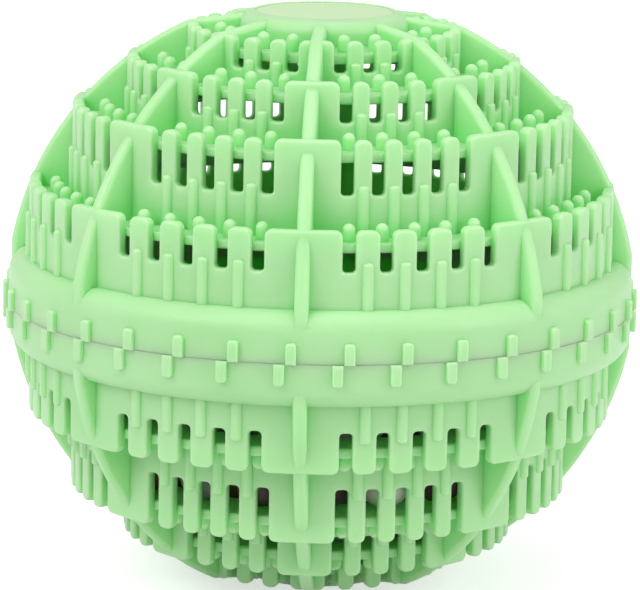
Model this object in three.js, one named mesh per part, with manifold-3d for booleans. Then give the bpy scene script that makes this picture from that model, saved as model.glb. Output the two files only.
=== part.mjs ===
// A two-part laundry ball: two stepped, slotted half shells that twist together at the equator,
// a cap disc and a magnet at each pole, and a bed of loose ceramic beads in the lower half.
// Millimetres and degrees. +Z is up, the origin is the centre of the ball.
// Angles run from the front (-Y) towards +X, so they grow anticlockwise seen from above.

import * as THREE from "three";
import { mergeVertices } from "three/addons/utils/BufferGeometryUtils.js";
import Module from "manifold-3d";

const wasm = await Module();
wasm.setup();

// Envelope of each half: a sphere whose centre lies beyond the parting plane, so the ball is oblate.
// The poles are flatter still, and their rise is a share of the envelope radius.
const ENVELOPE_RADIUS = 50.5;
const ENVELOPE_OFFSET = 2.2;
const POLE_RISE = 0.895;

// Fits.
const CLEARANCE = 0.3;
const SEAT_GAP = 0.15;
const PARTING_GAP = 0.3;

// Stepped walls, from the equator to the pole. Reach, rise and window are shares of the envelope
// radius: where the wall stands, how high it ends, and the part of a slot below the ledge.
const TIERS = [
  { reach: 0.911, rise: 0.363, slots: 5, pitch: 7, window: 0.0525 },
  { reach: 0.778, rise: 0.607, slots: 5, pitch: 6.85, window: 0.093 },
  { reach: 0.61, rise: 0.754, slots: 4, pitch: 8.5, window: 0.0515 },
  { reach: 0.424, rise: 0.85, slots: 3, pitch: 12.4, window: 0.0245 },
];
const WALL_THICKNESS = 1.8;
const LEDGE_THICKNESS = 1.4;
const PARAPET_HEIGHT = 2.2;
const SECTORS = 8;
const SLOT_WIDTH = 2;
const RIB_WIDTH = 1.5;
const RIB_HEIGHT = 0.75;
const RIB_RISE = 1.65;
const PIN_RADIUS = 1;
const PIN_SIDES = 3;
const PIN_HEIGHT = 2.65;
const DRUM_PINS = 2;
const DRUM_PIN_PITCH = 17.6;
const FIN_THICKNESS = 2.1;
const FIN_RECESS = 0.4;

// Equator band, set back from the envelope, with its grip ribs. It parts a little below the centre of
// the ball, and its lower half is a little lower than the upper one.
const BAND_RECESS = 1.2;
const BAND_WALL = 2.3;
const BAND_ROOF = 1.4;
const PARTING_DROP = 0.95;
const LOWER_BAND_TRIM = 0.6;
const GRIP_COUNT = 36;
const GRIP_WIDTH = 1.6;
const GRIP_HEIGHT = 0.8;
const GRIP_LENGTH = 3.3;
const UPPER_GRIP_ANGLE = -1.55;
const LOWER_GRIP_ANGLE = -3.55;

// Twist closure: helical lugs on a collar of the lower half hook over lugs inside the upper band.
const LUG_COUNT = 6;
const LUG_SPAN = 20;
const LUG_HEIGHT = 1.2;
const THREAD_LEAD = 36;
const COLLAR_THICKNESS = 1.6;
const COLLAR_HEADROOM = 0.7;
const BORE_CHAMFER = 0.7;

// Pole drum, cap disc and magnet.
const CAP_RADIUS = 10.6;
const CAP_THICKNESS = 1.6;
const CAP_CHAMFER = 0.4;
const DRUM_RADIUS = 13.2;
const DRUM_SHOULDER = 1.2;
const MAGNET_RADIUS = 9.5;

// Beads lie in rings, one on each step of the lower half and one within the last. Their reach is a
// share of the envelope radius, and the inset is counted in bead radii.
const BEAD_REACH = 0.083;
const BEAD_RINGS = [
  { tier: 1, count: 22, inset: 0 },
  { tier: 2, count: 16, inset: 0 },
  { tier: 3, count: 10, inset: 0 },
  { tier: 3, count: 3, inset: 2.24 },
];

const RING_SEGMENTS = 40;
const DRUM_SEGMENTS = 24;
const LUG_SEGMENTS = 4;
const FIN_ARC_SEGMENTS = 9;

const rad = THREE.MathUtils.degToRad;

// A point at an angle from the front.
function polar(radius, degrees) {
  return new THREE.Vector2(radius * Math.sin(rad(degrees)), -radius * Math.cos(rad(degrees)));
}

// The closed solid of a geometry: equal corners become one and faces without area go.
function solid(geometry) {
  const bare = geometry.index ? geometry.toNonIndexed() : geometry;
  bare.deleteAttribute("normal");
  bare.deleteAttribute("uv");
  const merged = mergeVertices(bare, 1e-4);
  const corners = [];
  for (let i = 0; i < merged.index.count; i += 3) {
    const [a, b, c] = [0, 1, 2].map((k) => merged.index.getX(i + k));
    if (a !== b && b !== c && c !== a) corners.push(a, b, c);
  }
  const mesh = new wasm.Mesh({
    numProp: 3,
    vertProperties: merged.attributes.position.array,
    triVerts: new Uint32Array(corners),
  });
  return new wasm.Manifold(mesh);
}

function union(solids) {
  return wasm.Manifold.union(solids);
}

function geometryOf(manifold) {
  const mesh = manifold.asOriginal().simplify(0.002).getMesh();
  const geometry = new THREE.BufferGeometry();
  geometry.setAttribute("position", new THREE.BufferAttribute(mesh.vertProperties, 3));
  geometry.setIndex(new THREE.BufferAttribute(mesh.triVerts, 1));
  return geometry;
}

// A flat outline raised from one height to another.
function prism(shape, bottom, top) {
  const geometry = new THREE.ExtrudeGeometry(shape, { depth: top - bottom, bevelEnabled: false });
  return geometry.translate(0, 0, bottom);
}

// An outline of [across, outward] points, raised and moved out to a radius at an angle.
function radialPrism(points, bottom, top, radius, degrees) {
  const shape = new THREE.Shape(points.map(([across, out]) => new THREE.Vector2(across, -out)));
  const at = polar(radius, degrees);
  return prism(shape, bottom, top).rotateZ(rad(degrees)).translate(at.x, at.y, 0);
}

// A ring between two many-sided outlines.
function ring(outerRadius, outerAngles, innerRadius, innerAngles, bottom, top) {
  const shape = new THREE.Shape(outerAngles.map((a) => polar(outerRadius, a)));
  shape.holes.push(new THREE.Path(innerAngles.map((a) => polar(innerRadius, a))));
  return solid(prism(shape, bottom, top));
}

// A profile of [radius, height] points turned about the axis of the ball.
function turned(points, segments) {
  const profile = points.map(([radius, height]) => new THREE.Vector2(radius, height));
  return solid(new THREE.LatheGeometry(profile, segments).rotateX(Math.PI / 2));
}

// Radius of the band, heights of the twist closure above the parting plane, and heights of the band,
// the pole and each step above the centre of the ball, seen from the pole of each half.
const bandRadius = ENVELOPE_RADIUS - BAND_RECESS;
const poleTop = ENVELOPE_RADIUS * POLE_RISE;
const lugRise = (THREAD_LEAD * LUG_SPAN) / 360;
const lugFloor = PARTING_GAP / 2 + CLEARANCE;
const collarHeight = lugFloor + lugRise + 2 * LUG_HEIGHT + 2 * CLEARANCE;
const bandInside = collarHeight + COLLAR_HEADROOM;
const bandHeight = bandInside + BAND_ROOF;
const upperRim = {
  parting: -PARTING_DROP,
  inside: bandInside - PARTING_DROP,
  top: bandHeight - PARTING_DROP,
};
const lowerRim = {
  parting: PARTING_DROP,
  inside: bandInside + PARTING_DROP - LOWER_BAND_TRIM,
  top: bandHeight + PARTING_DROP - LOWER_BAND_TRIM,
};
const steps = TIERS.map((tier) => {
  const radius = ENVELOPE_RADIUS * tier.reach;
  const top = ENVELOPE_RADIUS * tier.rise;
  const ledgeTop = top - PARAPET_HEIGHT;
  const ledgeBottom = ledgeTop - LEDGE_THICKNESS;
  const slotBottom = ledgeBottom - ENVELOPE_RADIUS * tier.window;
  const inside = radius - WALL_THICKNESS;
  return { ...tier, radius, inside, top, ledgeTop, ledgeBottom, slotBottom };
});
const sectorAngles = Array.from({ length: SECTORS }, (_, i) => (360 / SECTORS) * i);

// Angles of the slots of one sector, or of the walls between them.
function sectorPattern(start, count, pitch) {
  const middle = start + 180 / SECTORS;
  return Array.from({ length: count }, (_, i) => middle + (i - (count - 1) / 2) * pitch);
}

// Each wall has a corner at every slot and every meridian fin.
function wallAngles(step) {
  return sectorAngles.flatMap((start) => [start, ...sectorPattern(start, step.slots, step.pitch)]);
}

// The slotted walls, joined by a ledge behind each parapet.
function steppedWalls(rim) {
  const walls = steps.map((step, i) => {
    const foot = i === 0 ? rim.inside : steps[i - 1].ledgeBottom;
    const angles = wallAngles(step);
    return ring(step.radius, angles, step.inside, angles, foot, step.top);
  });
  const ledges = steps.slice(0, -1).map((step, i) => {
    const next = steps[i + 1];
    const outer = step.inside;
    const inner = next.radius - WALL_THICKNESS / 2;
    const { ledgeBottom, ledgeTop } = step;
    return ring(outer, wallAngles(step), inner, wallAngles(next), ledgeBottom, ledgeTop);
  });
  return union([union(walls).subtract(slotCutters()), ...ledges, poleDrum()]);
}

// The last ledge and the drum on it, with a stepped pocket for the magnet and the cap.
function poleDrum() {
  const last = steps[steps.length - 1];
  const rim = last.inside + SEAT_GAP;
  const capSeat = poleTop - CAP_THICKNESS - SEAT_GAP;
  const capBore = CAP_RADIUS + CLEARANCE;
  const magnetBore = MAGNET_RADIUS + CLEARANCE;
  const shoulderRadius = DRUM_RADIUS - DRUM_SHOULDER / 2;
  return turned(
    [
      [0, last.ledgeBottom],
      [rim, last.ledgeBottom],
      [rim, last.ledgeTop],
      [DRUM_RADIUS, last.ledgeTop],
      [DRUM_RADIUS, poleTop - DRUM_SHOULDER],
      [shoulderRadius, poleTop - 0.35 * DRUM_SHOULDER],
      [capBore, poleTop],
      [capBore, capSeat],
      [magnetBore, capSeat],
      [magnetBore, last.ledgeTop],
      [0, last.ledgeTop],
    ],
    DRUM_SEGMENTS,
  );
}

// Slots are open at the top of each wall and reach through it below the ledge.
function slotCutters() {
  const half = SLOT_WIDTH / 2;
  const outline = [
    [-half, -WALL_THICKNESS - SEAT_GAP],
    [half, -WALL_THICKNESS - SEAT_GAP],
    [half, WALL_THICKNESS],
    [-half, WALL_THICKNESS],
  ];
  const cutters = steps.flatMap((step) =>
    sectorAngles
      .flatMap((start) => sectorPattern(start, step.slots, step.pitch))
      .map((a) => radialPrism(outline, step.slotBottom, step.top + WALL_THICKNESS, step.radius, a)),
  );
  return union(cutters.map(solid));
}

// A rib on the outside of every wall between two slots, from the ledge below to past the slot bottom.
function outerRibs(rim) {
  const half = RIB_WIDTH / 2;
  const outline = [
    [-half, -SEAT_GAP],
    [half, -SEAT_GAP],
    [0, RIB_HEIGHT],
  ];
  return steps.flatMap((step, i) => {
    const floor = i === 0 ? rim.top : steps[i - 1].ledgeTop;
    const foot = floor - LEDGE_THICKNESS / 2;
    return sectorAngles
      .flatMap((start) => sectorPattern(start, step.slots - 1, step.pitch))
      .map((a) =>
        solid(radialPrism(outline, foot, step.slotBottom + RIB_RISE, step.radius, a)),
      );
  });
}

// Pins stand along the middle of each ledge, before the slots of the next wall or before the drum.
function pins() {
  const outline = Array.from({ length: PIN_SIDES }, (_, i) => {
    const turn = rad((360 / PIN_SIDES) * i);
    return [PIN_RADIUS * Math.sin(turn), PIN_RADIUS * Math.cos(turn)];
  });
  const drum = { radius: DRUM_RADIUS, slots: DRUM_PINS, pitch: DRUM_PIN_PITCH };
  return steps.flatMap((step, i) => {
    const next = steps[i + 1] ?? drum;
    const middle = (step.inside + next.radius) / 2;
    const foot = step.ledgeTop - LEDGE_THICKNESS / 2;
    const top = step.ledgeTop + PIN_HEIGHT;
    return sectorAngles
      .flatMap((start) => sectorPattern(start, next.slots, next.pitch))
      .map((a) => solid(radialPrism(outline, foot, top, middle, a)));
  });
}

// One meridian fin: outside it stands on the band, follows the envelope to the last wall and runs
// straight to the drum. Inside it runs within the steps of the shell.
function meridianFin(rim) {
  const reach = ENVELOPE_RADIUS - FIN_RECESS;
  const drumInside = DRUM_RADIUS - DRUM_SHOULDER / 2;
  const footRadius = bandRadius - CLEARANCE / 2;
  const finFoot = rim.top - BAND_WALL;
  const outline = [];
  for (let i = steps.length - 1; i >= 0; i -= 1) {
    const step = steps[i];
    const mid = step.ledgeTop - LEDGE_THICKNESS / 2;
    const nearPole = i === steps.length - 1 ? drumInside : steps[i + 1].radius - WALL_THICKNESS / 2;
    outline.push([nearPole, mid], [step.radius - WALL_THICKNESS / 2, mid]);
  }
  outline.push([steps[0].radius - WALL_THICKNESS / 2, rim.top - BAND_ROOF / 2]);
  outline.push([bandRadius - BAND_WALL, rim.top - BAND_ROOF / 2]);
  outline.push([bandRadius - BAND_WALL / 2, finFoot], [footRadius, finFoot]);
  const low = Math.acos(footRadius / reach);
  const high = Math.acos(steps[steps.length - 1].radius / reach);
  for (let i = 0; i <= FIN_ARC_SEGMENTS; i += 1) {
    const turn = low + ((high - low) * i) / FIN_ARC_SEGMENTS;
    outline.push([reach * Math.cos(turn), reach * Math.sin(turn) - ENVELOPE_OFFSET]);
  }
  outline.push([drumInside, poleTop - DRUM_SHOULDER / 2]);
  const shape = new THREE.Shape(outline.map(([radius, height]) => new THREE.Vector2(radius, height)));
  const plate = prism(shape, -FIN_THICKNESS / 2, FIN_THICKNESS / 2);
  return plate.rotateX(Math.PI / 2).rotateZ(-Math.PI / 2);
}

function meridianFins(rim) {
  return sectorAngles.map((a) => solid(meridianFin(rim).rotateZ(rad(a))));
}

// Outside of the band, from its rim at the parting plane over the rounded shoulder to the first wall.
function bandOutside(rim) {
  const foot = steps[0].radius - WALL_THICKNESS / 2;
  const across = bandRadius - steps[0].radius;
  const drop = 0.4 * bandHeight;
  const shoulder = [0, 45, 90].map((degrees) => [
    bandRadius - across * (1 - Math.cos(rad(degrees))),
    rim.top - drop * (1 - Math.sin(rad(degrees))),
  ]);
  const edge = [bandRadius, rim.parting + PARTING_GAP / 2];
  return [edge, ...shoulder, [foot, rim.top], [foot, rim.inside]];
}

const bandBore = bandRadius - BAND_WALL;
const collarRadius = bandBore - 6 * CLEARANCE;

// A lug follows the thread, so the top and bottom faces climb with the angle.
function lug(innerRadius, outerRadius, middle, degrees) {
  const angles = [];
  for (let i = 0; i <= LUG_SEGMENTS; i += 1) angles.push(LUG_SPAN * (i / LUG_SEGMENTS - 0.5));
  const outer = angles.map((a) => polar(outerRadius, a));
  const inner = angles.map((a) => polar(innerRadius, a)).reverse();
  const low = middle - LUG_HEIGHT / 2;
  const geometry = prism(new THREE.Shape([...outer, ...inner]), low, low + LUG_HEIGHT);
  const points = geometry.attributes.position;
  for (let i = 0; i < points.count; i += 1) {
    const turn = Math.atan2(points.getX(i), -points.getY(i));
    points.setZ(i, points.getZ(i) + (THREAD_LEAD * turn) / (2 * Math.PI));
  }
  return solid(geometry.rotateZ(rad(degrees)));
}

function lugs(innerRadius, outerRadius, middle) {
  const angles = Array.from({ length: LUG_COUNT }, (_, i) => (360 / LUG_COUNT) * i);
  return angles.map((a) => lug(innerRadius, outerRadius, middle, a));
}

const lugMiddleUpper = lugFloor + lugRise / 2 + LUG_HEIGHT / 2;
const lugMiddleLower = lugMiddleUpper + LUG_HEIGHT + CLEARANCE;

// Grip ribs stand on the band next to the parting line, each rounded off at its far end.
function grips(angle, rim) {
  const half = GRIP_WIDTH / 2;
  const outline = [
    [-half, -BAND_WALL / 2],
    [half, -BAND_WALL / 2],
    [0.7 * half, GRIP_HEIGHT],
    [-0.7 * half, GRIP_HEIGHT],
  ];
  const bottom = rim.parting + PARTING_GAP / 2;
  return Array.from({ length: GRIP_COUNT }, (_, i) => {
    const a = angle + (360 / GRIP_COUNT) * i;
    return solid(radialPrism(outline, bottom, bottom + GRIP_LENGTH, bandRadius, a));
  });
}

function upperBand() {
  const rim = upperRim;
  const outside = bandOutside(rim);
  const inside = [
    [bandBore - BORE_CHAMFER, rim.inside],
    [bandBore, rim.inside - BORE_CHAMFER],
    [bandBore, rim.parting + PARTING_GAP / 2],
  ];
  const band = turned([...outside, ...inside, outside[0]], RING_SEGMENTS);
  const lugMiddle = rim.parting + lugMiddleUpper;
  const inward = lugs(collarRadius + CLEARANCE, bandBore + BAND_WALL / 2, lugMiddle);
  return [band, ...inward, ...grips(UPPER_GRIP_ANGLE, rim)];
}

// Seen from its own pole the lower band is the same, with a shelf that carries the collar through
// the parting plane.
function lowerBand() {
  const rim = lowerRim;
  const outside = bandOutside(rim);
  const edge = rim.parting + PARTING_GAP / 2;
  const shelf = edge + BAND_ROOF;
  const collarInside = collarRadius - COLLAR_THICKNESS;
  const collarEnd = rim.parting - collarHeight;
  const inside = [
    [bandBore - BORE_CHAMFER, rim.inside],
    [bandBore, rim.inside - BORE_CHAMFER],
    [bandBore, shelf],
    [collarInside, shelf],
    [collarInside, collarEnd],
    [collarRadius, collarEnd],
    [collarRadius, edge],
  ];
  const band = turned([...outside, ...inside, outside[0]], RING_SEGMENTS);
  const lugMiddle = rim.parting - lugMiddleLower;
  const outward = lugs(collarRadius - COLLAR_THICKNESS / 2, bandBore - CLEARANCE, lugMiddle);
  return [band, ...outward, ...grips(180 - LOWER_GRIP_ANGLE, rim)];
}

function dome(rim) {
  return union([steppedWalls(rim), ...outerRibs(rim), ...pins(), ...meridianFins(rim)]);
}

const upperShell = geometryOf(union([dome(upperRim), ...upperBand()]));
const lowerShell = geometryOf(union([dome(lowerRim), ...lowerBand()])).rotateX(Math.PI);

// Cap disc with a small chamfer on the outside, made for the upper pole.
function capDisc() {
  const top = poleTop;
  const bottom = top - CAP_THICKNESS;
  return turned(
    [
      [0, bottom],
      [CAP_RADIUS, bottom],
      [CAP_RADIUS, top - CAP_CHAMFER],
      [CAP_RADIUS - CAP_CHAMFER, top],
      [0, top],
    ],
    DRUM_SEGMENTS,
  );
}

// Magnet disc that lies loose in the drum, under the cap.
function magnetDisc() {
  const bottom = steps[steps.length - 1].ledgeTop + SEAT_GAP;
  const top = poleTop - CAP_THICKNESS - 2 * SEAT_GAP;
  return turned(
    [
      [0, bottom],
      [MAGNET_RADIUS, bottom],
      [MAGNET_RADIUS, top],
      [0, top],
    ],
    DRUM_SEGMENTS,
  );
}

const ball = new THREE.Group();
ball.name = "laundry_ball";

function place(name, geometry, color, roughness, metalness = 0) {
  const material = new THREE.MeshStandardMaterial({ color, roughness, metalness });
  const mesh = new THREE.Mesh(geometry, material);
  mesh.name = name;
  ball.add(mesh);
}

place("lower_shell", lowerShell, 0xa6e69c, 0.42);
place("upper_shell", upperShell, 0xa6e69c, 0.42);
place("top_cap", geometryOf(capDisc()), 0xc8e8b4, 0.4);
place("bottom_cap", geometryOf(capDisc()).rotateX(Math.PI), 0xc8e8b4, 0.4);
place("top_magnet", geometryOf(magnetDisc()), 0x3b3b3e, 0.5, 0.6);
place("bottom_magnet", geometryOf(magnetDisc()).rotateX(Math.PI), 0x3b3b3e, 0.5, 0.6);

// Beads of four kinds, mixed along each ring.
const BEAD_KINDS = [
  { name: "white", color: 0xe4e2da },
  { name: "grey", color: 0x8d938c },
  { name: "brown", color: 0x8a5a3c },
  { name: "dark", color: 0x4a3238 },
];
const beadRadius = ENVELOPE_RADIUS * BEAD_REACH;
const placed = BEAD_KINDS.map(() => 0);
let mixer = 0;
for (const { tier, count, inset } of BEAD_RINGS) {
  const step = steps[tier];
  const radius = step.inside - CLEARANCE - (1 + inset) * beadRadius;
  const height = -step.ledgeBottom + beadRadius + SEAT_GAP;
  for (let i = 0; i < count; i += 1) {
    const at = polar(radius, (360 / count) * (i + 0.3 * tier));
    const kind = (mixer * mixer + 3 * tier + Math.floor(mixer / 3)) % BEAD_KINDS.length;
    mixer += 1;
    placed[kind] += 1;
    const bead = new THREE.OctahedronGeometry(beadRadius, 1);
    bead.translate(at.x, at.y, height);
    const number = String(placed[kind]).padStart(2, "0");
    const { name, color } = BEAD_KINDS[kind];
    place(`bead_${name}_${number}`, geometryOf(solid(bead)), color, 0.6);
  }
}

export default ball;
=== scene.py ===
# %% [markdown]
# # A slotted laundry ball
# The ball is two soft green mouldings that twist together at the middle, a pale disc in each pole,
# and a bed of ceramic beads inside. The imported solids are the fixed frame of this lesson. Each
# solid is replaced by a finer piece in the same place, which rides on the same body, so the ball
# still opens. Lengths are in metres, with +Z up and the centre of the ball at height zero.

# %% Load the frame
import math
import bmesh
import bpy
from mathutils import Matrix, Vector, noise


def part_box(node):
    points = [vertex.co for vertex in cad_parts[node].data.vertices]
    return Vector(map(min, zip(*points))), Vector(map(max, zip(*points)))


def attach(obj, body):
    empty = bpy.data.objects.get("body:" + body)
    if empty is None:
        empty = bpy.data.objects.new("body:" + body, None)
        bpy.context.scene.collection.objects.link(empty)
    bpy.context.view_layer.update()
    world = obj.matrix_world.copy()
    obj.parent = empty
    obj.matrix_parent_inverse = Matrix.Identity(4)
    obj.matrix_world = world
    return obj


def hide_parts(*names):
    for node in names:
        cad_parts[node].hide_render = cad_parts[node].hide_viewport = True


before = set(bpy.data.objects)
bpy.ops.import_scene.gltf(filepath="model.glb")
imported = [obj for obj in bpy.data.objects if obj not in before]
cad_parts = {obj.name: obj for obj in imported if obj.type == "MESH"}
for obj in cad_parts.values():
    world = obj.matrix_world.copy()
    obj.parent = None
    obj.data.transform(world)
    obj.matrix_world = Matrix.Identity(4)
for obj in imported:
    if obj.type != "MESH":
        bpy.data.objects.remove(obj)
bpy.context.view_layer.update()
scene = bpy.context.scene

# %% [markdown]
# ## Sizes
# A moulded part is described by a few numbers: the radius and height of every step, the slots in
# it, and the thickness of the walls. Reach, rise and window are shares of the radius of the sphere
# round each half, and a pitch is in degrees. The ball parts a little below its centre, so the two
# halves have rims of their own. Both are drawn with their pole up, and the lower one is turned
# over later.

# %% Name the sizes of the moulding
MM = 0.001
TINY = 1e-7
ENVELOPE, OFFSET = 50.5 * MM, 2.2 * MM
WALL, LEDGE, PARAPET = 1.8 * MM, 1.4 * MM, 2.2 * MM
SECTORS = 8
SLOT_WIDTH = 2 * MM
POLE_RISE = 0.895
TIERS = [
    {"reach": 0.911, "rise": 0.363, "slots": 5, "pitch": 7.0, "window": 0.0525},
    {"reach": 0.778, "rise": 0.607, "slots": 5, "pitch": 6.85, "window": 0.0930},
    {"reach": 0.610, "rise": 0.754, "slots": 4, "pitch": 8.5, "window": 0.0515},
    {"reach": 0.424, "rise": 0.850, "slots": 3, "pitch": 12.4, "window": 0.0245},
]
for tier in TIERS:
    tier["radius"] = tier["reach"] * ENVELOPE
    tier["top"] = tier["rise"] * ENVELOPE
    tier["ledge_top"] = tier["top"] - PARAPET
    tier["ledge_bottom"] = tier["ledge_top"] - LEDGE
    tier["slot_bottom"] = tier["ledge_bottom"] - tier["window"] * ENVELOPE
last = TIERS[-1]
pole_top = POLE_RISE * ENVELOPE

BAND_RADIUS, BAND_HEIGHT, BAND_WALL = 49.3 * MM, 7.55 * MM, 2.3 * MM
DROP, LOWER_TRIM, GAP = 0.95 * MM, 0.6 * MM, 0.02 * MM
upper_rim = {"parting": -DROP, "top": BAND_HEIGHT - DROP}
lower_rim = {"parting": DROP, "top": BAND_HEIGHT + DROP - LOWER_TRIM}
for rim in (upper_rim, lower_rim):
    rim["inside"] = rim["top"] - LEDGE
print("step tops in mm:", [round(tier["top"] / MM, 2) for tier in TIERS])

# %% [markdown]
# ## Slotted walls
# Each step of the ball is a thin upright wall, cut into round-cornered teeth by slots. One could
# cut the slots out of a ring, but then the soft edges that a mould leaves would be hard to add. So
# one pitch of the wall is drawn flat, as a single face. Its corners are rounded while it is flat,
# it gets its thickness, and its long edges get a small fillet. A few cuts across it let it bend.

# %% Draw one flat pitch of a wall
TOOTH_ROUND, SLOT_ROUND, EDGE_ROUND = 1.05 * MM, 0.6 * MM, 0.4 * MM
BEND_CUTS = (-0.68, 0, 0.68)


def round_corners(bm, corners, radius, segments):
    """Rounds corners of a flat outline."""
    bmesh.ops.bevel(bm, geom=corners, offset=radius, offset_type="OFFSET", segments=segments,
                    profile=0.5, affect="VERTICES", material=-1, clamp_overlap=True)


def fillet(bm, edges, radius, segments):
    """Rounds edges of a solid."""
    bmesh.ops.bevel(bm, geom=edges, offset=radius, offset_type="OFFSET", segments=segments,
                    profile=0.5, affect="EDGES", material=-1, clamp_overlap=False)


def thicken(bm, depth):
    """Turns the flat outline of a bmesh into a plate."""
    raised = bmesh.ops.extrude_face_region(bm, geom=bm.faces[:])["geom"]
    far = [part for part in raised if isinstance(part, bmesh.types.BMVert)]
    bmesh.ops.translate(bm, verts=far, vec=depth)
    bmesh.ops.recalc_face_normals(bm, faces=bm.faces[:])


def flat_pitch(width, foot, top, slot_bottom=None):
    """One pitch of a wall, laid flat: x along it, y into it and z up. Its two ends are open."""
    half, gap = width / 2, SLOT_WIDTH / 2
    outline = [(-half, foot), (half, foot), (half, top)]
    if slot_bottom is not None:
        outline += [(gap, top), (gap, slot_bottom), (-gap, slot_bottom), (-gap, top)]
    outline.append((-half, top))
    bm = bmesh.new()
    corners = [bm.verts.new((x, 0, z)) for x, z in outline]
    bm.faces.new(corners)
    if slot_bottom is not None:
        round_corners(bm, [corners[3], corners[6]], TOOTH_ROUND, segments=4)
        round_corners(bm, [corners[4], corners[5]], SLOT_ROUND, segments=3)
    thicken(bm, (0, WALL, 0))

    def at_end(verts):
        return any(all(abs(vert.co.x - end) < TINY for vert in verts) for end in (-half, half))

    long_edges = [
        edge for edge in bm.edges
        if abs(edge.verts[0].co.y - edge.verts[1].co.y) < TINY
        and not at_end(edge.verts)
        and not all(abs(vert.co.z - foot) < TINY for vert in edge.verts)
    ]
    fillet(bm, long_edges, EDGE_ROUND, segments=2)
    ends = [face for face in bm.faces if at_end(face.verts)]
    bmesh.ops.delete(bm, geom=ends, context="FACES_ONLY")
    for share in BEND_CUTS:
        everything = bm.verts[:] + bm.edges[:] + bm.faces[:]
        bmesh.ops.bisect_plane(bm, geom=everything, dist=TINY, plane_co=(share * half, 0, 0),
                               plane_no=(1, 0, 0))
    pitch = bpy.data.meshes.new("pitch")
    bm.to_mesh(pitch)
    bm.free()
    return pitch


sample = flat_pitch(width=5.5 * MM, foot=6 * MM, top=18 * MM, slot_bottom=12 * MM)
print("one pitch with its slot:", len(sample.polygons), "faces")

# %% [markdown]
# ## Bending the walls into rings
# Pitches with a slot, and a wider one without a slot at each of the eight meridians, are laid end
# to end like a paper strip. The strip is then bent round: the distance along it becomes an angle
# and the depth becomes a smaller radius. The ends meet exactly, so merging doubles closes the
# ring.

# %% Bend four rings of wall for each half
MERGE = 0.002 * MM


def open_edges(bm):
    """Number of edges that don't have a face on each side."""
    return sum(1 for edge in bm.edges if len(edge.link_faces) != 2)


def sector_pattern(sector, count, pitch):
    """Angles, in degrees, of things spaced evenly about the middle of one sector."""
    middle = 360 / SECTORS * (sector + 0.5)
    return [middle + (i - (count - 1) / 2) * pitch for i in range(count)]


def append(bm, mesh, matrix):
    """Adds a copy of a mesh to a bmesh, moved by a matrix."""
    before = len(bm.verts)
    bm.from_mesh(mesh)
    bm.verts.ensure_lookup_table()
    bmesh.ops.transform(bm, matrix=matrix, verts=bm.verts[before:])


def bent_ring(tier, foot):
    """The slotted wall of one step."""
    radius = tier["radius"]
    plain = 360 / SECTORS - tier["slots"] * tier["pitch"]
    tooth = flat_pitch(radius * math.radians(tier["pitch"]), foot, tier["top"], tier["slot_bottom"])
    merlon = flat_pitch(radius * math.radians(plain), foot, tier["top"])
    bm = bmesh.new()
    for sector in range(SECTORS):
        start = math.radians(360 / SECTORS * sector)
        append(bm, merlon, Matrix.Translation((radius * start, 0, 0)))
        for angle in sector_pattern(sector, tier["slots"], tier["pitch"]):
            append(bm, tooth, Matrix.Translation((radius * math.radians(angle), 0, 0)))
    for vert in bm.verts:
        along, out = vert.co.x / radius, radius - vert.co.y
        vert.co = (out * math.sin(along), -out * math.cos(along), vert.co.z)
    bmesh.ops.remove_doubles(bm, verts=bm.verts[:], dist=MERGE)
    return bm


def to_mesh(bm, name):
    """Ends a bmesh as a mesh with its faces outwards."""
    bmesh.ops.recalc_face_normals(bm, faces=bm.faces[:])
    mesh = bpy.data.meshes.new(name)
    bm.to_mesh(mesh)
    bm.free()
    return mesh


def slotted_walls(rim):
    """The four rings of one half."""
    walls = bmesh.new()
    for i, tier in enumerate(TIERS):
        foot = rim["inside"] if i == 0 else TIERS[i - 1]["ledge_bottom"]
        append(walls, to_mesh(bent_ring(tier, foot), "ring"), Matrix.Identity(4))
    print("wall faces:", len(walls.faces), "open edges:", open_edges(walls))
    return to_mesh(walls, "walls")


upper_walls, lower_walls = slotted_walls(upper_rim), slotted_walls(lower_rim)

# %% [markdown]
# ## Ledges and the pole drum
# A flat ledge joins each wall to the next, and a low drum with a rounded shoulder stands on the
# last one. These are turned shapes, so an outline of a few corners is drawn in the plane of radius
# and height, some corners are rounded, and the outline is spun about the axis of the ball.

# %% Spin an outline
FINE_MERGE = 0.0005 * MM


def turned(corners, rounds, steps):
    """Spins an outline of (radius, height) corners. rounds maps a corner's number to its radius."""
    bm = bmesh.new()
    verts = [bm.verts.new((0, -radius, height)) for radius, height in corners]
    bm.faces.new(verts)
    for corner, radius in rounds.items():
        segments = 2 if radius < MM else 6
        round_corners(bm, [verts[corner]], radius, segments)
    bmesh.ops.delete(bm, geom=bm.faces[:], context="FACES_ONLY")
    axis_edges = [e for e in bm.edges if all(abs(v.co.y) < TINY for v in e.verts)]
    bmesh.ops.delete(bm, geom=axis_edges, context="EDGES")
    bmesh.ops.spin(bm, geom=bm.verts[:] + bm.edges[:], cent=(0, 0, 0), axis=(0, 0, 1),
                   angle=math.tau, steps=steps, use_merge=True)
    bmesh.ops.remove_doubles(bm, verts=bm.verts[:], dist=FINE_MERGE)
    bmesh.ops.recalc_face_normals(bm, faces=bm.faces[:])
    return bm


# %% [markdown]
# The ledges run a little into the walls, so that the union below finds them joined. The drum has
# two seats inside, one for the magnet and a wider one for the cap, each with a small gap round it.

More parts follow.
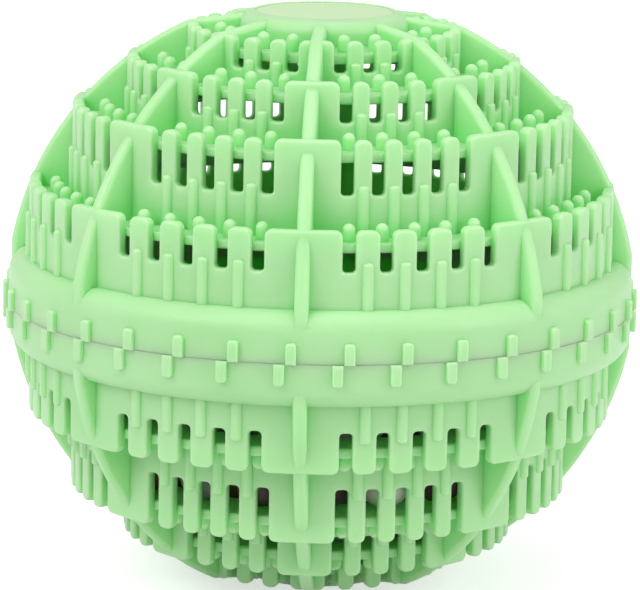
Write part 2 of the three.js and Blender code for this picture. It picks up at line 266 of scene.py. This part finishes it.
# %% Turn the ledges and the drum
CAP_RADIUS, CAP_THICKNESS = 10.6 * MM, 1.6 * MM
MAGNET_RADIUS, DRUM_RADIUS, DRUM_SHOULDER = 9.5 * MM, 13.2 * MM, 0.9 * MM
FIT, SEAT, OVERLAP = 0.3 * MM, 0.15 * MM, 0.25 * MM
LEDGE_STEPS, DISC_STEPS = 120, 96
cap_seat = pole_top - CAP_THICKNESS - SEAT
cap_bore, magnet_bore = CAP_RADIUS + FIT, MAGNET_RADIUS + FIT
drum_floor = last["radius"] - WALL + OVERLAP

floors = bmesh.new()
for tier, inner in zip(TIERS, TIERS[1:]):
    out, within = tier["radius"] - WALL + OVERLAP, inner["radius"] - WALL / 2
    low, high = tier["ledge_bottom"], tier["ledge_top"]
    section = [(out, low), (out, high), (within, high), (within, low)]
    ledge = turned(section, {0: EDGE_ROUND}, LEDGE_STEPS)
    append(floors, to_mesh(ledge, "ledge"), Matrix.Identity(4))
drum_section = [
    (0, last["ledge_bottom"]),
    (drum_floor, last["ledge_bottom"]),
    (drum_floor, last["ledge_top"]),
    (DRUM_RADIUS, last["ledge_top"]),
    (DRUM_RADIUS, pole_top - DRUM_SHOULDER),
    (cap_bore, pole_top),
    (cap_bore, cap_seat),
    (magnet_bore, cap_seat),
    (magnet_bore, last["ledge_top"]),
    (0, last["ledge_top"]),
]
drum_rounds = {4: 1.5 * MM, 5: 0.2 * MM, 3: 0.4 * MM}
drum = turned(drum_section, drum_rounds, DISC_STEPS)
print("drum faces:", len(drum.faces), "open edges:", open_edges(drum))
append(floors, to_mesh(drum, "drum"), Matrix.Identity(4))
floor_mesh = to_mesh(floors, "floors")

# %% [markdown]
# ## Meridian fins
# Eight upright fins run from the band to the drum and carry the walls. Outside, a fin stands on
# the band, follows the sphere and runs straight from the last wall to the drum. Inside, it ends in
# the thickness of the steps. Its curved edge is a vertex spun about the centre of the sphere. The
# outline is filled and thickened, and its outer edges are rounded until little of the flat is
# left.

# %% Shape the meridian fins
FIN_THICKNESS, FIN_RECESS, FIN_ROUND, FIN_STEPS = 2.1 * MM, 0.4 * MM, 0.85 * MM, 30
FIN_INSET, DRUM_INSET, FIN_END = 0.15 * MM, 0.6 * MM, 0.8 * MM
fin_reach = ENVELOPE - FIN_RECESS
foot_radius, drum_inside = BAND_RADIUS - FIN_INSET, DRUM_RADIUS - DRUM_INSET


def fin_inner_line(rim):
    """Where a fin ends within the band, the walls and the ledges, from the band to the drum."""
    roof = rim["top"] - LEDGE / 2
    line = [
        (BAND_RADIUS - BAND_WALL / 2, rim["top"] - BAND_WALL),
        (BAND_RADIUS - BAND_WALL, roof),
        (TIERS[0]["radius"] - WALL / 2, roof),
    ]
    for i, tier in enumerate(TIERS):
        middle = tier["ledge_top"] - LEDGE / 2
        inward = drum_inside if tier is last else TIERS[i + 1]["radius"] - WALL / 2
        line += [(tier["radius"] - WALL / 2, middle), (inward, middle)]
    return line


def meridian_fins(rim):
    """The eight fins of one half."""
    lowest, highest = math.acos(foot_radius / fin_reach), math.acos(last["radius"] / fin_reach)
    bm = bmesh.new()
    first = bm.verts.new((0, -foot_radius, fin_reach * math.sin(lowest) - OFFSET))
    bmesh.ops.spin(bm, geom=[first], cent=(0, 0, -OFFSET), axis=(1, 0, 0), angle=lowest - highest,
                   steps=FIN_STEPS)
    bm.verts.new((0, -foot_radius, rim["top"] - BAND_WALL))
    bm.verts.new((0, -drum_inside, pole_top - FIN_END))
    outer = sorted(bm.verts, key=lambda vert: vert.co.z)
    outer_points = [vert.co.yz for vert in outer]
    inner = [bm.verts.new((0, -radius, height)) for radius, height in fin_inner_line(rim)]
    bm.faces.new(outer + inner[::-1])
    bmesh.ops.translate(bm, verts=bm.verts[:], vec=(-FIN_THICKNESS / 2, 0, 0))
    thicken(bm, (FIN_THICKNESS, 0, 0))

    def is_outer(vert):
        return any((vert.co.yz - point).length < TINY for point in outer_points)

    outer_edges = [e for e in bm.edges if abs(e.verts[0].co.x - e.verts[1].co.x) < TINY
                   and all(is_outer(vert) for vert in e.verts)]
    fillet(bm, outer_edges, FIN_ROUND, segments=4)
    print("fin faces:", len(bm.faces), "open edges:", open_edges(bm))
    fin = to_mesh(bm, "fin")
    fins = bmesh.new()
    for sector in range(SECTORS):
        append(fins, fin, Matrix.Rotation(math.tau * sector / SECTORS, 4, "Z"))
    return to_mesh(fins, "fins")


upper_fins, lower_fins = meridian_fins(upper_rim), meridian_fins(lower_rim)

# %% [markdown]
# ## Ribs and pins
# A low, broad rib strengthens the outside of every tooth. Round-headed pins stand along the middle
# of each ledge, in front of the slots of the next wall, and two in each sector in front of the
# drum. Both are a post with a domed head: half a small sphere, whose rim is extruded down and
# filled. A rib's head is pressed blunt first. There are hundreds of them, so a post has only a few
# dozen faces.

# %% Make a domed post and stand copies of it
POST_SIDES = 12


def domed_post(radius, head, length):
    """A post that stands on z = 0 and is closed by a dome, whose height is the head."""
    bm = bmesh.new()
    bmesh.ops.create_uvsphere(bm, u_segments=POST_SIDES, v_segments=8, radius=radius)
    everything = bm.verts[:] + bm.edges[:] + bm.faces[:]
    bmesh.ops.bisect_plane(bm, geom=everything, dist=TINY, plane_co=(0, 0, 0),
                           plane_no=(0, 0, 1), clear_inner=True)
    bmesh.ops.scale(bm, verts=bm.verts[:], vec=(1, 1, head / radius))
    rim = [edge for edge in bm.edges if edge.is_boundary]
    skirt = bmesh.ops.extrude_edge_only(bm, edges=rim)["geom"]
    low = [part for part in skirt if isinstance(part, bmesh.types.BMVert)]
    bmesh.ops.translate(bm, verts=low, vec=(0, 0, head - length))
    bmesh.ops.holes_fill(bm, edges=[e for e in bm.edges if e.is_boundary], sides=0)
    bmesh.ops.translate(bm, verts=bm.verts[:], vec=(0, 0, length - head))
    return to_mesh(bm, "post")


def stand_round(bm, mesh, radius, angles, height):
    """Stands copies of a mesh round the axis of the ball, at angles from the front."""
    for angle in angles:
        turn = Matrix.Rotation(math.radians(angle), 4, "Z")
        append(bm, mesh, turn @ Matrix.Translation((0, -radius, height)))


# %% [markdown]
# A rib starts in the ledge below and ends a little above the bottom of the slots, and a pin is
# rooted in its ledge. Both run into what carries them, so that the union joins them.

# %% Set the ribs and pins
RIB_WIDTH, RIB_DEPTH, RIB_HEAD = 1.75 * MM, 1.4 * MM, 0.45 * MM
RIB_RISE, RIB_FOOT = 1.6 * MM, 0.5 * MM
PIN_RADIUS, PIN_HEIGHT, PIN_FOOT = 1.0 * MM, 2.65 * MM, 0.7 * MM
DRUM_PINS, DRUM_PIN_PITCH = 2, 17.6


def outer_ribs(rim):
    """The ribs of one half."""
    ribs = bmesh.new()
    for i, tier in enumerate(TIERS):
        foot = (rim["top"] if i == 0 else TIERS[i - 1]["ledge_top"]) - RIB_FOOT
        rib = domed_post(RIB_WIDTH / 2, RIB_HEAD, tier["slot_bottom"] + RIB_RISE - foot)
        rib.transform(Matrix.Diagonal((1, RIB_DEPTH / RIB_WIDTH, 1, 1)))
        for sector in range(SECTORS):
            between = sector_pattern(sector, tier["slots"] - 1, tier["pitch"])
            stand_round(ribs, rib, tier["radius"], between, foot)
    return to_mesh(ribs, "ribs")


upper_ribs, lower_ribs = outer_ribs(upper_rim), outer_ribs(lower_rim)
pins = bmesh.new()
pin = domed_post(PIN_RADIUS, PIN_RADIUS, PIN_FOOT + PIN_HEIGHT)
before_drum = {"radius": DRUM_RADIUS, "slots": DRUM_PINS, "pitch": DRUM_PIN_PITCH}
for tier, following in zip(TIERS, TIERS[1:] + [before_drum]):
    middle = (tier["radius"] - WALL + following["radius"]) / 2
    for sector in range(SECTORS):
        places = sector_pattern(sector, following["slots"], following["pitch"])
        stand_round(pins, pin, middle, places, tier["ledge_top"] - PIN_FOOT)
pin_mesh = to_mesh(pins, "pins")
print("rib faces:", len(upper_ribs.polygons), "pin faces:", len(pin_mesh.polygons))

# %% [markdown]
# ## The band, its grips and the twist closure
# Each half ends in a plain band with a rounded shoulder. Next to the parting line it carries short
# grip bars for wet hands. Inside, lugs that climb like a screw thread hook over each other: those
# of the lower half sit on a collar that reaches up into the upper band. Turned outlines make the
# bands, and a small section spun with a climb makes a lug.

# %% Turn the two bands
BORE, COLLAR, COLLAR_HEIGHT, COLLAR_WALL = 47 * MM, 45.2 * MM, 5.45 * MM, 1.6 * MM
BAND_TAPER, CHAMFER_ACROSS, CHAMFER_DOWN = 0.15 * MM, 0.8 * MM, 0.6 * MM
RIM_ROUND, SHOULDER_ROUND, COLLAR_ROUND = 0.08 * MM, 3.1 * MM, 0.3 * MM
BAND_STEPS = 144


def band_outline(rim):
    """Corners of a band, from its edge at the parting line over the shoulder into its hollow."""
    neck = TIERS[0]["radius"] - WALL / 2
    return [
        (BAND_RADIUS, rim["parting"] + GAP),
        (BAND_RADIUS - BAND_TAPER, rim["top"]),
        (neck, rim["top"]),
        (neck, rim["inside"]),
        (BORE - CHAMFER_ACROSS, rim["inside"]),
        (BORE, rim["inside"] - CHAMFER_DOWN),
    ]


shoulder = {0: RIM_ROUND, 1: SHOULDER_ROUND}
upper_end = [(BORE, upper_rim["parting"] + GAP)]
upper_band = turned(band_outline(upper_rim) + upper_end, shoulder, BAND_STEPS)
lower_edge = lower_rim["parting"] + GAP
collar = [
    (BORE, lower_edge + LEDGE),
    (COLLAR - COLLAR_WALL, lower_edge + LEDGE),
    (COLLAR - COLLAR_WALL, lower_rim["parting"] - COLLAR_HEIGHT),
    (COLLAR, lower_rim["parting"] - COLLAR_HEIGHT),
    (COLLAR, lower_edge),
]
lower_rounds = {**shoulder, 8: COLLAR_ROUND, 9: COLLAR_ROUND}
lower_band = turned(band_outline(lower_rim) + collar, lower_rounds, BAND_STEPS)
print("open edges of the bands:", open_edges(upper_band), open_edges(lower_band))
upper_band_mesh = to_mesh(upper_band, "upper_band")
lower_band_mesh = to_mesh(lower_band, "lower_band")

# %% [markdown]
# Six lugs on each half do the locking. The four corners of a lug's section are turned back by half
# its span and then spun forward while they climb, and the two open ends are filled.

# %% Climb the lugs
LUGS, LUG_SPAN, LUG_HEIGHT, LEAD = 6, math.radians(20), 1.2 * MM, 36 * MM
LUG_STEPS = 8
UPPER_LUG_MIDDLE, LOWER_LUG_MIDDLE = 2.05 * MM, 3.55 * MM


def lugs(inner, outer, middle):
    """Six lugs of one half, each a section spun with a climb."""
    climb = LEAD * LUG_SPAN / math.tau
    low = middle - LUG_HEIGHT / 2 - climb / 2
    bm = bmesh.new()
    section = [(outer, low), (outer, low + LUG_HEIGHT), (inner, low + LUG_HEIGHT), (inner, low)]
    loop = [bm.verts.new((0, -radius, height)) for radius, height in section]
    for a, b in zip(loop, loop[1:] + loop[:1]):
        bm.edges.new((a, b))
    bmesh.ops.rotate(bm, verts=bm.verts[:], cent=(0, 0, 0),
                     matrix=Matrix.Rotation(-LUG_SPAN / 2, 3, "Z"))
    bmesh.ops.spin(bm, geom=bm.verts[:] + bm.edges[:], cent=(0, 0, 0), axis=(0, 0, 1),
                   dvec=(0, 0, climb / LUG_STEPS), angle=LUG_SPAN, steps=LUG_STEPS)
    bmesh.ops.holes_fill(bm, edges=[e for e in bm.edges if e.is_boundary], sides=4)
    print("lug faces:", len(bm.faces), "open edges:", open_edges(bm))
    lug = to_mesh(bm, "lug")
    bm = bmesh.new()
    for i in range(LUGS):
        append(bm, lug, Matrix.Rotation(math.tau * i / LUGS, 4, "Z"))
    return to_mesh(bm, "lugs")


upper_lugs = lugs(COLLAR + FIT, BORE + BAND_WALL / 2, upper_rim["parting"] + UPPER_LUG_MIDDLE)
lower_lugs = lugs(COLLAR - COLLAR_WALL / 2, BORE - FIT, lower_rim["parting"] - LOWER_LUG_MIDDLE)

# %% [markdown]
# A grip is a short flat-faced bar with a round end. It is drawn like a tooth of the walls: a flat
# outline, two rounded corners, some thickness, and a small fillet round its face. The bars of the
# two halves stand beside each other when the ball is closed.

# %% Stand the grips
GRIPS, GRIP_WIDTH, GRIP_LENGTH, GRIP_HEIGHT = 36, 1.6 * MM, 3.2 * MM, 0.8 * MM
GRIP_ROOT, GRIP_END_ROUND, GRIP_FACE_ROUND = 1 * MM, 0.5 * MM, 0.22 * MM
UPPER_GRIP_ANGLE, LOWER_GRIP_ANGLE = -1.55, 180 + 3.55

bm = bmesh.new()
half = GRIP_WIDTH / 2
outline = [(-half, 0), (half, 0), (half, GRIP_LENGTH), (-half, GRIP_LENGTH)]
corners = [bm.verts.new((x, -GRIP_HEIGHT, z)) for x, z in outline]
bm.faces.new(corners)
round_corners(bm, corners[2:], GRIP_END_ROUND, segments=3)
thicken(bm, (0, GRIP_HEIGHT + GRIP_ROOT, 0))
face_edges = [e for e in bm.edges if all(abs(v.co.y + GRIP_HEIGHT) < TINY for v in e.verts)]
fillet(bm, face_edges, GRIP_FACE_ROUND, segments=2)
print("grip faces:", len(bm.faces), "open edges:", open_edges(bm))
grip = to_mesh(bm, "grip")


def grips(first_angle, rim):
    """The grip bars of one half."""
    bars = bmesh.new()
    angles = [first_angle + 360 / GRIPS * i for i in range(GRIPS)]
    stand_round(bars, grip, BAND_RADIUS, angles, rim["parting"] + GAP)
    return to_mesh(bars, "grips")


upper_grips = grips(UPPER_GRIP_ANGLE, upper_rim)
lower_grips = grips(LOWER_GRIP_ANGLE, lower_rim)

# %% [markdown]
# ## One moulding for each half
# The real half comes out of the mould as one piece, so its walls, ledges, fins, ribs and pins must
# not be left as shapes that run through each other: light inside the plastic would stop at hidden
# faces. A boolean union melts them into one skin. Shapes that don't touch each other go in
# together, so seven unions are enough.

# %% Unite the shapes of each half
MOULDING_SHARP = math.radians(52)
UPRIGHT, OVER = Matrix.Identity(4), Matrix.Rotation(math.pi, 4, "X")


def smooth(mesh, sharp):
    """Shades a mesh smoothly, apart from edges that bend by more than an angle."""
    mesh.polygons.foreach_set("use_smooth", [True] * len(mesh.polygons))
    mesh.set_sharp_from_angle(angle=sharp)


def united(name, meshes, turn):
    """One object whose mesh is the union of several closed meshes."""
    half = bpy.data.objects.new(name, meshes[0].copy())
    scene.collection.objects.link(half)
    tools = []
    for mesh in meshes[1:]:
        tool = bpy.data.objects.new("tool", mesh)
        scene.collection.objects.link(tool)
        joint = half.modifiers.new("joined", "BOOLEAN")
        joint.operation, joint.solver, joint.object = "UNION", "MANIFOLD", tool
        tools.append(tool)
    graph = bpy.context.evaluated_depsgraph_get()
    skin = bpy.data.meshes.new_from_object(half.evaluated_get(graph))
    half.modifiers.clear()
    for tool in tools:
        bpy.data.objects.remove(tool)
    bm = bmesh.new()
    bm.from_mesh(skin)
    bmesh.ops.dissolve_degenerate(bm, edges=bm.edges[:], dist=FINE_MERGE)
    bmesh.ops.transform(bm, matrix=turn, verts=bm.verts[:])
    print(name, "faces:", len(bm.faces), "open edges:", open_edges(bm),
          "volume in ml:", round(bm.calc_volume() * 1e6, 2))
    bm.to_mesh(skin)
    bm.free()
    skin.name = name
    half.data = skin
    smooth(skin, MOULDING_SHARP)
    return half


upper_dome = [upper_walls, floor_mesh, upper_fins, upper_ribs, pin_mesh]
upper_half = united("upper_moulding", upper_dome + [upper_band_mesh, upper_grips, upper_lugs],
                    UPRIGHT)
lower_dome = [lower_walls, floor_mesh, lower_fins, lower_ribs, pin_mesh]
lower_half = united("lower_moulding", lower_dome + [lower_band_mesh, lower_grips, lower_lugs],
                    OVER)

# %% [markdown]
# Each moulding stands for one solid of the frame and rides on that solid's body, so the upper half
# still lifts off. Normals weighted by the size of the faces keep flats even beside small fillets.

# %% Let the halves ride on their bodies
for half, node, body in [(upper_half, "upper_shell", "upper_half"),
                         (lower_half, "lower_shell", "lower_half")]:
    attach(half, body)
    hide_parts(node)
    even = half.modifiers.new("even shading", "WEIGHTED_NORMAL")
    even.keep_sharp = True

# %% [markdown]
# ## Caps and magnets
# A pale disc is pressed into each pole, a hair below its rim, over a sintered magnet that lies
# loose. They are turned shapes with a small round on their rims. The cap is dished by a hair, as a
# thin flat moulding often is, so its gloss isn't that of a sheet of glass.

# %% Turn the caps and magnets
DISC_SHARP = math.radians(40)
CAP_SPREAD, CAP_SUNK, CAP_BORDER = 0.27 * MM, 0.3 * MM, 1.2 * MM
BORDER_DISH, MIDDLE_DISH = 0.02 * MM, 0.08 * MM


def disc(name, node, body, profile, rounds, turn):
    """A turned disc that stands for a solid of the frame."""
    bm = turned(profile, rounds, DISC_STEPS)
    bmesh.ops.transform(bm, matrix=turn, verts=bm.verts[:])
    print(name, "faces:", len(bm.faces), "open edges:", open_edges(bm))
    mesh = to_mesh(bm, name)
    smooth(mesh, DISC_SHARP)
    piece = bpy.data.objects.new(name, mesh)
    scene.collection.objects.link(piece)
    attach(piece, body)
    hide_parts(node)
    return piece


cap_low, cap_face = pole_top - CAP_THICKNESS, pole_top - CAP_SUNK
cap_edge = CAP_RADIUS + CAP_SPREAD
cap_profile = [
    (0, cap_low),
    (cap_edge, cap_low),
    (cap_edge, cap_face),
    (cap_edge - CAP_BORDER, cap_face - BORDER_DISH),
    (0, cap_face - MIDDLE_DISH),
]
cap_rounds = {2: 0.2 * MM}
caps = [
    disc("top_disc", "top_cap", "upper_half",
         cap_profile, cap_rounds, UPRIGHT),
    disc("bottom_disc", "bottom_cap", "lower_half",
         cap_profile, cap_rounds, OVER),
]
magnet_low, magnet_high = last["ledge_top"] + SEAT, cap_seat - SEAT
magnet_profile = [
    (0, magnet_low),
    (MAGNET_RADIUS, magnet_low),
    (MAGNET_RADIUS, magnet_high),
    (0, magnet_high),
]
magnet_rounds = {1: 0.4 * MM, 2: 0.4 * MM}
magnets = [
    disc("top_ferrite", "top_magnet", "top_magnet",
         magnet_profile, magnet_rounds, UPRIGHT),
    disc("bottom_ferrite", "bottom_magnet", "lower_half",
         magnet_profile, magnet_rounds, OVER),
]

# %% [markdown]
# ## Ceramic beads
# The beads are rolled in a drum and fired, so none is quite round. A small sphere of triangles is
# pushed in and out by a slow noise that depends on the bead's own place, which gives each bead a
# lump of its own and the same lump at every run.

# %% Roll the beads
BEAD_FILL, LUMP_HEIGHT, LUMP_DETAIL, LUMP_SPREAD = 0.975, 0.022, 1.1, 3.7
beads = {"white": [], "grey": [], "brown": [], "dark": []}
for node in sorted(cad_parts):
    if not node.startswith("bead_"):
        continue
    kind, number = node.split("_")[1:]
    low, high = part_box(node)
    centre, radius = (low + high) / 2, (high.x - low.x) / 2
    bm = bmesh.new()
    bmesh.ops.create_icosphere(bm, subdivisions=3, radius=radius)
    for vert in bm.verts:
        seed = vert.co / radius * LUMP_DETAIL + centre / radius * LUMP_SPREAD
        vert.co *= BEAD_FILL + LUMP_HEIGHT * noise.noise(seed)
    bmesh.ops.translate(bm, verts=bm.verts[:], vec=centre)
    mesh = to_mesh(bm, "ceramic")
    mesh.polygons.foreach_set("use_smooth", [True] * len(mesh.polygons))
    bead = bpy.data.objects.new(f"ceramic_{kind}_{number}", mesh)
    scene.collection.objects.link(bead)
    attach(bead, "lower_half")
    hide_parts(node)
    beads[kind].append(bead)
print("beads:", {kind: len(made) for kind, made in beads.items()})

# %% [markdown]
# ## Helpers for materials
# A material is a small network. Each of these helpers makes a part of one that is needed more than
# once: a socket that is set or linked, a colour that wanders between two tints, a number moved to
# another span, and a blend of two colours.

# %% Prepare the helpers
def srgb(red, green, blue):
    """A colour as a screen shows it, turned into the linear numbers of a shader."""
    def linear(level):
        level /= 255
        return level / 12.92 if level <= 0.04045 else ((level + 0.055) / 1.055) ** 2.4
    return (linear(red), linear(green), linear(blue), 1.0)


def plug(socket, value):
    """Links a socket to another one, or sets it to a plain value."""
    if isinstance(value, bpy.types.NodeSocket):
        socket.id_data.links.new(value, socket)
    else:
        socket.default_value = value


def adder(nodes):
    """A function that adds a node to a network and plugs its inputs."""
    def add(kind, **inputs):
        made = nodes.new(kind)
        for key, value in inputs.items():
            plug(made.inputs[key], value)
        return made
    return add


def new_material(name):
    """A material, its shader, and the function that adds nodes to it."""
    material = bpy.data.materials.new(name)
    material.use_nodes = True
    nodes = material.node_tree.nodes
    shader = next(node for node in nodes if node.type == "BSDF_PRINCIPLED")
    return material, shader, adder(nodes)


def mottled(add, coords, scale, detail, dark, light):
    """A colour that wanders between two tints."""
    pattern = add("ShaderNodeTexNoise", Vector=coords, Scale=scale, Detail=detail)
    ramp = add("ShaderNodeValToRGB", Fac=pattern.outputs["Fac"])
    stops = ramp.color_ramp.elements
    stops[0].position, stops[1].position = 0.3, 0.7
    stops[0].color, stops[1].color = dark, light
    return ramp.outputs["Color"]


def remapped(add, value, low, high, start=0.0, end=1.0):
    """A number that goes from low to high while the value goes from start to end."""
    span = add("ShaderNodeMapRange", Value=value)
    limits = {"From Min": start, "From Max": end, "To Min": low, "To Max": high}
    for key, limit in limits.items():
        plug(span.inputs[key], limit)
    return span.outputs["Result"]


def blended(add, factor, first, second):
    """A colour that goes from the first to the second as the factor grows."""
    mix = add("ShaderNodeMix")
    mix.data_type = "RGBA"
    plug(mix.inputs["Factor"], factor)
    # Inputs 6 and 7 and output 2 are those that carry colours.
    plug(mix.inputs[6], first)
    plug(mix.inputs[7], second)
    return mix.outputs[2]


# %% [markdown]
# ## Green plastic
# The shells are a soft translucent plastic: light enters the thin walls, is tinted and comes out
# again. The Principled shader's subsurface does that. Shade is also painted into the colour: a
# deeper, darker tint is mixed in where a place is enclosed by its own moulding, in its corners and
# recesses. Slow noise shifts the tint a little, as pigment does in a mould, and a fine noise makes
# the gloss uneven.

# %% Mix the plastics
# How far the painted corner shade looks for enclosing moulding, and the openness at which that
# shade is full and at which it fades out.
SHADE_REACH = 7 * MM
FULL_SHADE, NO_SHADE = 0.15, 0.65


def moulded_plastic(name, dark, light, corner_shade, glow, depth):
    """Translucent moulded plastic between two tints, with painted shade, a deeper tint, in its
    corners.
    """
    material, shader, add = new_material(name)
    coords = add("ShaderNodeTexCoord").outputs["Object"]
    open_tint = mottled(add, coords, scale=45, detail=2, dark=dark, light=light)
    # Painted shade: the colour goes towards the darker corner tint where the moulding encloses a
    # place.
    corner = add("ShaderNodeAmbientOcclusion", Distance=SHADE_REACH)
    corner.only_local, corner.samples = True, 6
    unshaded = remapped(add, corner.outputs["AO"], low=0.0, high=1.0, start=FULL_SHADE, end=NO_SHADE)
    fine = add("ShaderNodeTexNoise", Vector=coords, Scale=420, Detail=3).outputs["Fac"]
    bump = add("ShaderNodeBump", Height=fine, Strength=0.06, Distance=0.0002)
    settings = {
        "Base Color": blended(add, unshaded, corner_shade, open_tint),
        "Roughness": remapped(add, fine, low=0.36, high=0.5),
        "Normal": bump.outputs["Normal"],
        "IOR": 1.48,
        "Subsurface Weight": glow,
        "Subsurface Radius": (0.75, 1.0, 0.68),
        "Subsurface Scale": depth,
    }
    for key, value in settings.items():
        plug(shader.inputs[key], value)
    return material


# The third tint of each plastic is painted shade, laid into its corners and recesses.
green = moulded_plastic("green_plastic", dark=srgb(174, 227, 163), light=srgb(183, 232, 172),
                        corner_shade=srgb(137, 226, 136), glow=0.85, depth=3.5 * MM)
pale = moulded_plastic("pale_plastic", dark=srgb(198, 231, 178), light=srgb(206, 236, 188),
                       corner_shade=srgb(176, 224, 160), glow=0.25, depth=1.2 * MM)
for piece in (upper_half, lower_half):
    piece.data.materials.clear()
    piece.data.materials.append(green)
for piece in caps:
    piece.data.materials.append(pale)
print("plastics:", green.name, pale.name)

# %% [markdown]
# ## Ceramic and ferrite
# Fired clay has grains: small specks that differ a little from the body, and a dry, rough skin. A
# noise gives the body colour and a pattern of cells the specks. The magnets are grey-black
# sintered ferrite with the faint rings of a grinding wheel.

# %% Fire the ceramic
def fired_clay(name, dark, light, speck, least_rough):
    """Ceramic with grains."""
    material, shader, add = new_material(name)
    coords = add("ShaderNodeTexCoord").outputs["Object"]
    body = mottled(add, coords, scale=260, detail=3, dark=dark, light=light)
    grain = add("ShaderNodeTexVoronoi", Vector=coords, Scale=1500)
    specks = remapped(add, grain.outputs["Distance"], low=0.55, high=0.0, start=0.16, end=0.26)
    rough = add("ShaderNodeTexNoise", Vector=coords, Scale=900, Detail=4).outputs["Fac"]
    bump = add("ShaderNodeBump", Height=rough, Strength=0.25, Distance=0.0002)
    plug(shader.inputs["Base Color"], blended(add, specks, body, speck))
    plug(shader.inputs["Roughness"], remapped(add, rough, least_rough, least_rough + 0.25))
    plug(shader.inputs["Normal"], bump.outputs["Normal"])
    return material


# The two tints of the body, the tint of the specks, and the lowest roughness.
clay_looks = {
    "white": (srgb(222, 219, 208), srgb(240, 238, 230), srgb(196, 190, 176), 0.4),
    "grey": (srgb(126, 134, 126), srgb(160, 166, 158), srgb(98, 104, 98), 0.5),
    "brown": (srgb(122, 76, 50), srgb(152, 104, 74), srgb(86, 52, 36), 0.5),
    "dark": (srgb(62, 42, 48), srgb(88, 62, 66), srgb(40, 28, 32), 0.5),
}
for kind, made in beads.items():
    clay = fired_clay(f"clay_{kind}", *clay_looks[kind])
    for bead in made:
        bead.data.materials.append(clay)

# %% [markdown]
# Ferrite is dark and looks half metallic. The rings of the grinding wheel change only its gloss.

# %% Press the ferrite
ferrite, shader, add = new_material("ferrite")
coords = add("ShaderNodeTexCoord").outputs["Object"]
rings = add("ShaderNodeTexWave", Vector=coords, Scale=900, Distortion=1.5)
rings.wave_type, rings.rings_direction = "RINGS", "Z"
tint = mottled(add, coords, scale=500, detail=4, dark=srgb(50, 50, 54), light=srgb(70, 70, 74))
plug(shader.inputs["Base Color"], tint)
plug(shader.inputs["Roughness"], remapped(add, rings.outputs["Fac"], low=0.35, high=0.55))
plug(shader.inputs["Metallic"], 0.55)
for magnet in magnets:
    magnet.data.materials.append(ferrite)
print("clays:", sorted(clay_looks), "and", ferrite.name)

# %% [markdown]
# ## Stage, light and camera
# The ball stands on a pale floor under soft light. The floor is white to the camera, and takes the
# ball's shadow because only a part of its brightness comes from light that it gives off itself.
# The world is a plain white that fills the slots softly, and large lamps give the soft gloss.

# %% Lay the floor
FLOOR_HALF, FLOOR_GAP, FLOOR_LIFT = 6.0, 0.05 * MM, 0.6
WHITE = (1, 1, 1, 1)


def stage_plane(name, half, height):
    """A level square that belongs to the stage."""
    bm = bmesh.new()
    bmesh.ops.create_grid(bm, x_segments=1, y_segments=1, size=half)
    bmesh.ops.translate(bm, verts=bm.verts[:], vec=(0, 0, height))
    plane = bpy.data.objects.new(name, to_mesh(bm, name))
    scene.collection.objects.link(plane)
    return plane


def calculated(add, operation, first, second):
    """The result of one operation on two numbers."""
    step = add("ShaderNodeMath")
    step.operation = operation
    plug(step.inputs[0], first)
    plug(step.inputs[1], second)
    return step.outputs["Value"]


floor = stage_plane("floor", FLOOR_HALF, -pole_top - FLOOR_GAP)
paper, shader, add = new_material("white_paper")
rays = add("ShaderNodeLightPath")
direct = calculated(add, "MAXIMUM", rays.outputs["Is Camera Ray"], rays.outputs["Is Glossy Ray"])
seen = calculated(add, "MAXIMUM", direct, rays.outputs["Is Transmission Ray"])
plug(shader.inputs["Base Color"], (0.8, 0.8, 0.8, 1))
plug(shader.inputs["Roughness"], 0.9)
plug(shader.inputs["Emission Color"], WHITE)
plug(shader.inputs["Emission Strength"], calculated(add, "MULTIPLY", seen, FLOOR_LIFT))
floor.data.materials.append(paper)

# %% [markdown]
# The world looks plain white to the camera, but lights the ball with only a part of that strength.
# Three square lamps add direction: a key from the left, a fill from the right and one from above.

# %% Light the world and hang the lamps
WORLD_LEVEL, SEEN_LEVEL = 0.57, 1.0
world = bpy.data.worlds.new("studio")
scene.world = world
world.use_nodes = True
air = world.node_tree.nodes
back = next(node for node in air if node.type == "BACKGROUND")
add = adder(air)
rays = add("ShaderNodeLightPath")
level = remapped(add, rays.outputs["Is Camera Ray"], WORLD_LEVEL, SEEN_LEVEL)
plug(back.inputs["Color"], WHITE)
plug(back.inputs["Strength"], level)


def lamp(name, place, size, power):
    """A square soft lamp that looks at the ball."""
    light = bpy.data.lights.new(name, "AREA")
    light.size, light.energy = size, power
    made = bpy.data.objects.new(name, light)
    scene.collection.objects.link(made)
    made.location = place
    made.rotation_euler = (-Vector(place)).to_track_quat("-Z", "Y").to_euler()


lamp("key", (-0.65, -0.6, 0.75), size=0.6, power=4.6)
lamp("fill", (0.95, -0.4, 0.4), size=0.7, power=3.4)
lamp("top", (0.0, -0.25, 1.05), size=0.7, power=3.1)

# %% [markdown]
# The photograph was taken with a long lens from about sixty centimetres away and twelve
# centimetres above the middle of the ball, with the camera tilted by a degree. The picture is 640
# by 590 pixels, and a small shift puts the ball where it stands in the frame.

# %% Set the camera
DISTANCE, FOCAL_PIXELS, PICTURE_WIDTH, SHIFT_PIXELS = 0.617, 3891, 640, -2.22
AZIMUTH, ELEVATION, ROLL = math.radians(3.2), math.radians(11.32), math.radians(1.0)
eye = bpy.data.cameras.new("eye")
eye.sensor_width = 36
eye.lens = FOCAL_PIXELS * eye.sensor_width / PICTURE_WIDTH
eye.shift_y = SHIFT_PIXELS / PICTURE_WIDTH
eye.clip_start, eye.clip_end = 0.01, 50
camera = bpy.data.objects.new("camera", eye)
scene.collection.objects.link(camera)
away = Vector((math.sin(AZIMUTH) * math.cos(ELEVATION), -math.cos(AZIMUTH) * math.cos(ELEVATION),
               math.sin(ELEVATION)))
aim = (-away).to_track_quat("-Z", "Y").to_matrix().to_4x4() @ Matrix.Rotation(ROLL, 4, "Z")
camera.matrix_world = Matrix.Translation(away * DISTANCE) @ aim
scene.camera = camera
scene.view_settings.view_transform = "Standard"
